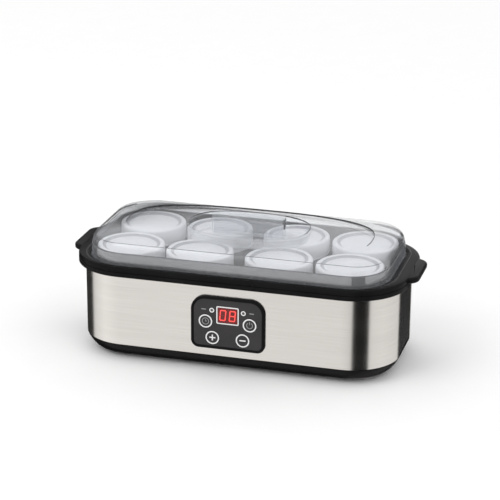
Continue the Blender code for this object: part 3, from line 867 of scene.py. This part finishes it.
def make_underside():
    """Base plate with vents and screw pockets, feet with a ring groove, cross-slot screws."""
    low = lows("base_plate")[2]
    plate = loft("bottom_plate", [outline(150.6, 61.6, 37.0, z) for z in (low, low + 2.6)])
    cutters = []
    for i in range(6):
        y = -20.0 + 8.0 * i
        cutters.append(block(f"vent_{i}", (40, y - 1.5, low - 2), (80, y + 1.5, low + 5)))
    for i in range(1, 5):
        cx, cy, _ = centre(f"base_screw_{i}")
        pocket = [(0, low - 2), (3.5, low - 2), (3.5, 5.6), (1.7, 5.6), (1.7, 8), (0, 8)]
        cutters.append(turned(f"pocket_{i}", pocket, (cx, cy, 0), steps=32))
        cx, cy, _ = centre(f"foot_{i}")
        cutters.append(drill(f"foot_hole_{i}", FOOT_HOLE, low - 2, 8, (cx, cy, 0), steps=32))
    cut(plate, cutters)
    piece(plate, "base", LOOKS["black_matte"], "black_matte", "base_plate")
    foot = [(0, 0.5), (5.0, 0.5), (5.4, 0), (8.2, 0), (9.0, 0.4), (9.3, 1.2), (9.3, 3.5)]
    foot += [(3.2, 3.5), (3.2, 6.2), (0, 6.2)]
    screw = [(0, 4.1), (2.4, 4.1), (2.9, 4.3), (3.1, 4.8), (3.1, 5.2)]
    screw += [(1.35, 5.2), (1.35, 12.6), (0, 12.6)]
    for i in range(1, 5):
        cx, cy, _ = centre(f"foot_{i}")
        made = turned(f"rubber_foot_{i}", foot, (cx, cy, 0), steps=48)
        piece(made, "base", LOOKS["rubber"], "rubber", f"foot_{i}")
        cx, cy, _ = centre(f"base_screw_{i}")
        made = turned(f"case_screw_{i}", screw, (cx, cy, 0), steps=32)
        slots = [
            block("slot_a", (cx - 1.8, cy - 0.3, 3.6), (cx + 1.8, cy + 0.3, 4.8)),
            block("slot_b", (cx - 0.3, cy - 1.8, 3.6), (cx + 0.3, cy + 1.8, 4.8)),
        ]
        cut(made, slots)
        piece(made, "base", LOOKS["plated_steel"], "plated_steel", f"base_screw_{i}")
    bush = [(2.2, 76.6), (5.4, 76.6), (6.2, 76.2), (6.5, 75.6), (6.5, 74.8)]
    bush += [(4.0, 74.8), (4.0, 70.0), (2.2, 70.0)]
    gland = turned("cord_bush", bush, gland_at(), "Y", closed=True, steps=48)
    piece(gland, "base", LOOKS["rubber"], "rubber", "cord_gland")


# ---- control panel ----
def ring_print(name, radius, line, at, y, look, body):
    """A printed ring: a flat annulus a little proud of the face it sits on."""
    inner, outer = radius - line / 2, radius + line / 2
    near, deep = y - PRINT_SUNK, y + 0.02
    profile = [(inner, near), (outer, near), (outer, deep), (inner, deep)]
    made = turned(name, profile, (at[0], 0, at[1]), "Y", closed=True, steps=64)
    return piece(made, body, look, "white_plastic")


def flat_print(name, points, y, look, body, depth=0.07):
    """A printed shape, as proud of its face as a printed ring."""
    near = y - PRINT_SUNK
    loops = [[(x, d, z) for x, z in points] for d in (near, near + depth)]
    return piece(loft(name, loops), body, look, "white_plastic")


def bar_points(cx, cz, half_long, half_wide, angle):
    """A bar with rounded ends, centred at a point."""
    c, s = math.cos(math.radians(angle)), math.sin(math.radians(angle))
    flat = half_long - half_wide
    ends = arc(flat, 0, half_wide, -90, 8, 180.0) + arc(-flat, 0, half_wide, 90, 8, 180.0)
    return [(cx + c * x - s * z, cz + s * x + c * z) for x, z in ends]


def make_panel():
    """Bezel, film with its holes, keys, lights and display."""
    # (growth of the panel's outline, depth) round the bezel
    steps = [
        (0.0, -74.7),
        (0.0, -76.6),
        (-0.3, -77.2),
        (-0.9, -77.55),
        (-1.6, -77.6),
        (-2.3, -77.5),
        (-2.7, -77.2),
        (-2.7, -75.0),
        (-3.9, -75.0),
        (-3.9, -72.0),
        (-3.0, -72.0),
        (-3.0, -74.7),
    ]
    bezel = loft("panel_bezel", [panel_outline(g, y) for g, y in steps], ring=True, smooth=35.0)
    piece(bezel, "base", LOOKS["black_gloss"], "black_gloss", "control_bezel")
    face = OVERLAY_FRONT
    film = loft("panel_film", [panel_outline(-PANEL_INSET, y) for y in (face, face + 1.5)])
    through = (face - 2, face + 4)
    cutters = []
    for key in KEYS:
        cx, _, cz = centre(key)
        cutters.append(drill("hole_" + key, KEY_HOLE, *through, (cx, 0, cz), "Y", 64))
    for led in ("led_left", "led_right"):
        cx, _, cz = centre(led)
        cutters.append(drill("hole_" + led, LED_HOLE, *through, (cx, 0, cz), "Y", 48))
    window = centre("display_window")
    low = (window[0] - WINDOW_HALF[0], through[0], window[2] - WINDOW_HALF[1])
    high = (window[0] + WINDOW_HALF[0], through[1], window[2] + WINDOW_HALF[1])
    cutters.append(block("window_hole", low, high))
    cut(film, cutters)
    piece(film, "base", LOOKS["overlay_grey"], "overlay_grey", "control_overlay")
    for key in KEYS:
        make_key(key)
    for led in ("led_left", "led_right"):
        cx, _, cz = centre(led)
        ring_print(led + "_ring", 2.0, 1.0, (cx, cz), face - 0.12, PRINT_WHITE, "base")
        lens = [(0, face - 0.2), (0.9, face - 0.12), (1.5, face), (2.2, face)]
        lens += [(2.2, face + 5.2), (0, face + 5.2)]
        made = turned(led + "_lens", lens, (cx, 0, cz), "Y", steps=32)
        piece(made, "base", LED_OFF, "white_plastic", led)
        mark = bar_points(cx * 1.52, cz + 0.4, 2.4, 0.45, 0.0)
        flat_print(led + "_mark", mark, face, DIM_PRINT, "base")
    make_display(window, face)


def make_key(key):
    """Round key with its printed ring and sign; everything rides on the key."""
    cx, front, cz = centre(key)[0], lows(key)[1], centre(key)[2]
    profile = [(0, 0.1), (5.2, 0.1), (6.6, 0.0), (7.0, 0.15), (7.1, 0.4), (7.1, 2.3)]
    profile += [(7.6, 2.3), (7.6, 3.0), (2.0, 3.0), (2.0, 3.4), (0, 3.4)]
    made = turned(key.replace("key", "button"), profile, (cx, front, cz), "Y", steps=64)
    piece(made, key, LOOKS["overlay_grey"], "overlay_grey", key)
    name = key.replace("key", "print")
    ring_print(name + "_ring", 6.35, 1.3, (cx, cz), front, PRINT_WHITE, key)
    level = front + 0.1
    above = level - 0.02
    if key in ("key_plus", "key_minus"):
        bar = bar_points(cx, cz, 3.3, 0.65, 0)
        flat_print(name + "_bar", bar, level, PRINT_WHITE, key)
    if key == "key_plus":
        bar = bar_points(cx, cz, 3.3, 0.65, 90)
        flat_print(name + "_cross", bar, above, PRINT_WHITE, key)
    if key == "key_timer":
        ring_print(name + "_dial", 3.3, 0.7, (cx, cz), level, DIM_PRINT, key)
        bar = bar_points(cx, cz + 0.9, 1.2, 0.3, 90)
        flat_print(name + "_hand", bar, level, DIM_PRINT, key)
        bar = bar_points(cx + 0.7, cz, 1.0, 0.3, 0)
        flat_print(name + "_hour", bar, above, DIM_PRINT, key)
    if key == "key_power":
        outer = arc(cx, cz, 3.4, 125, 24, 290.0)
        inner = arc(cx, cz, 2.7, 415, 24, -290.0)
        flat_print(name + "_arc", outer + inner, level, DIM_PRINT, key)
        bar = bar_points(cx, cz + 2.4, 1.7, 0.35, 90)
        flat_print(name + "_stroke", bar, level, DIM_PRINT, key)


# (place across, place up, angle) of each bar of a figure, in half widths and half heights
SEGMENTS = {
    "top": (0, 1, 0),
    "middle": (0, 0, 0),
    "bottom": (0, -1, 0),
    "upper_left": (-1, 0.5, 90),
    "upper_right": (1, 0.5, 90),
    "lower_left": (-1, -0.5, 90),
    "lower_right": (1, -0.5, 90),
}


def make_display(window, face):
    """Dark red window, white frame and two seven-segment figures reading 08."""
    low, high = (Vector(c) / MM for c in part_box("display_window"))
    glass = soften(block("display_glass", low, high), 0.4, 2)
    piece(glass, "base", LOOKS["display_red"], "display_red", "display_window")
    rims = []
    for half_x, half_z, corner in ((11.5, 9.3, 1.4), (10.4, 8.2, 0.6)):
        flat = sum(corners_of(half_x, half_z, corner, 6), [])
        rims.append([(x + window[0], z + window[2]) for x, z in flat])
    steps = ((rims[0], 0.0), (rims[0], -0.2), (rims[1], -0.2), (rims[1], 0.0))
    loops = [[(x, face + y, z) for x, z in rim] for rim, y in steps]
    piece(loft("display_frame", loops, ring=True), "base", PRINT_WHITE, "white_plastic")
    for digit, cx, unlit in (("tens", -DIGIT_AT, ("middle",)), ("units", DIGIT_AT, ())):
        for part, place in SEGMENTS.items():
            points = segment_points(window[0] + cx, window[2], *place)
            look = DIGIT_DIM if part in unlit else DIGIT_LIT
            flat_print(f"{digit}_{part}", points, face, look, "base", 0.08)


def segment_points(cx, cz, across, rise, angle):
    """One slanted bar of a figure, with pointed ends."""
    half_wide, half_tall = DIGIT_HALF
    z = rise * half_tall
    x = cx + across * half_wide + z * DIGIT_SLANT
    length = half_wide - 0.35 if angle == 0 else half_tall / 2 - 0.35
    points = [(-length - 0.3, 0), (-length, 0.5), (length, 0.5)]
    points += [(length + 0.3, 0), (length, -0.5), (-length, -0.5)]
    if angle:
        points = [(-b + a * DIGIT_SLANT, a) for a, b in points]
    return [(x + a, cz + z + b) for a, b in points]


# ---- CAD pieces that stay ----
def dress_cad():
    """Every CAD node that still shows gets the material of its own slot."""
    slots = {row["node"]: row["material_slot"] for row in frame["record"]["subparts"]}
    for node, item in frame["nodes"].items():
        if item.hide_render:
            continue
        item.data.materials.clear()
        item.data.materials.append(LOOKS[slots[node]])


# ---- studio ----
def make_world():
    """White studio: even light, with three dark flags that only reflections see."""
    world = bpy.data.worlds.new("studio")
    bpy.context.scene.world = world
    world.use_nodes = True
    nodes, wire = world.node_tree.nodes, world.node_tree.links.new
    plain = nodes["Background"]
    plain.inputs["Color"].default_value = (1.0, 1.0, 1.0, 1)
    plain.inputs["Strength"].default_value = SKY
    place = nodes.new("ShaderNodeTexCoord")
    parts = nodes.new("ShaderNodeSeparateXYZ")
    wire(place.outputs["Generated"], parts.inputs["Vector"])
    flip = nodes.new("ShaderNodeMath")
    flip.operation = "MULTIPLY"
    flip.inputs[1].default_value = -1.0
    wire(parts.outputs["Y"], flip.inputs[0])
    angle = nodes.new("ShaderNodeMath")
    angle.operation = "ARCTAN2"
    wire(parts.outputs["X"], angle.inputs[0])
    wire(flip.outputs[0], angle.inputs[1])
    share = nodes.new("ShaderNodeMapRange")
    share.inputs["From Min"].default_value = -math.pi
    share.inputs["From Max"].default_value = math.pi
    wire(angle.outputs[0], share.inputs["Value"])
    ramp = nodes.new("ShaderNodeValToRGB")
    fill_stops(ramp.color_ramp, FLAGS)
    wire(share.outputs["Result"], ramp.inputs["Fac"])
    up = nodes.new("ShaderNodeMapRange")
    up.interpolation_type = "SMOOTHSTEP"
    up.inputs["From Min"].default_value = FLAG_FADE[0]
    up.inputs["From Max"].default_value = FLAG_FADE[1]
    wire(parts.outputs["Z"], up.inputs["Value"])
    blend = nodes.new("ShaderNodeMix")
    blend.data_type = "RGBA"
    wire(up.outputs["Result"], blend.inputs["Factor"])
    wire(ramp.outputs["Color"], blend.inputs["A"])
    blend.inputs["B"].default_value = GLOSS_SKY
    seen = nodes.new("ShaderNodeBackground")
    wire(blend.outputs["Result"], seen.inputs["Color"])
    seen.inputs["Strength"].default_value = 1.0
    path = nodes.new("ShaderNodeLightPath")
    choose = nodes.new("ShaderNodeMixShader")
    wire(path.outputs["Is Glossy Ray"], choose.inputs["Fac"])
    wire(plain.outputs["Background"], choose.inputs[1])
    wire(seen.outputs["Background"], choose.inputs[2])
    wire(choose.outputs["Shader"], nodes["World Output"].inputs["Surface"])


# (azimuth in degrees from the front, grey) of what reflections see
FLAGS = (
    (-180, 0.75),
    (-168, 0.75),
    (-164, 0.03),
    (-104, 0.02),
    (-97, 0.70),
    (-60, 0.92),
    (-15, 0.80),
    (13, 0.68),
    (16, 0.004),
    (52, 0.004),
    (55, 0.75),
    (90, 0.80),
    (150, 0.70),
    (156, 0.02),
    (173, 0.02),
    (177, 0.75),
)


def fill_stops(ramp, stops):
    """Sets a ramp's stops. Positions come first, because a move can reorder them."""
    while len(ramp.elements) < len(stops):
        ramp.elements.new(0.5)
    for element, (azimuth, _) in zip(ramp.elements, stops):
        element.position = (azimuth + 180.0) / 360.0
    for element, (_, grey) in zip(ramp.elements, stops):
        element.color = (grey, grey * 0.985, grey * 0.965, 1)


def make_stage():
    """Pale floor and two soft lamps."""
    bm = bmesh.new()
    bmesh.ops.create_grid(bm, x_segments=1, y_segments=1, size=FLOOR_HALF)
    floor = from_bm("floor", bm)
    pale = (0.96, 0.96, 0.96)
    look = moulded("pale_floor", pale, 0.9, grain=40, specular=0.0, vary=0.004)
    floor.data.materials.append(look)
    floor.visible_glossy = False
    for name, place, size, power in (
        ("key_light", (-1.1, -1.3, 1.9), 1.2, 9.0),
        ("fill_light", (1.6, -0.6, 1.5), 1.4, 2.0),
    ):
        data = bpy.data.lights.new(name, "AREA")
        data.size = size
        data.energy = power
        lamp = bpy.data.objects.new(name, data)
        bpy.context.scene.collection.objects.link(lamp)
        lamp.location = place
        towards = Vector(LAMP_AIM) - Vector(place)
        lamp.rotation_euler = towards.to_track_quat("-Z", "Y").to_euler()


def make_camera():
    """From the right, a little above, with a long lens."""
    azimuth, elevation, roll = (math.radians(a) for a in (AZIMUTH, ELEVATION, ROLL))
    right = Vector((math.cos(azimuth), math.sin(azimuth), 0))
    back = Vector(
        (
            math.sin(azimuth) * math.cos(elevation),
            -math.cos(azimuth) * math.cos(elevation),
            math.sin(elevation),
        )
    )
    up = back.cross(right)
    side = math.cos(roll) * right + math.sin(roll) * up
    top = -math.sin(roll) * right + math.cos(roll) * up
    data = bpy.data.cameras.new("camera")
    data.sensor_width = FILM
    data.lens = LENS
    camera = bpy.data.objects.new("camera", data)
    bpy.context.scene.collection.objects.link(camera)
    place = Vector(AIM) + side * SHIFT_SIDE + top * SHIFT_UP + back * DISTANCE
    turn = Matrix((side, top, back)).transposed().to_4x4()
    camera.matrix_world = Matrix.Translation(place) @ turn
    bpy.context.scene.camera = camera


make_cover()
make_grip()
make_jars()
make_rim()
make_tub()
make_body()
make_steel()
make_underside()
make_panel()
dress_cad()
make_world()
make_stage()
make_camera()
bpy.context.scene.view_settings.view_transform = "Standard"
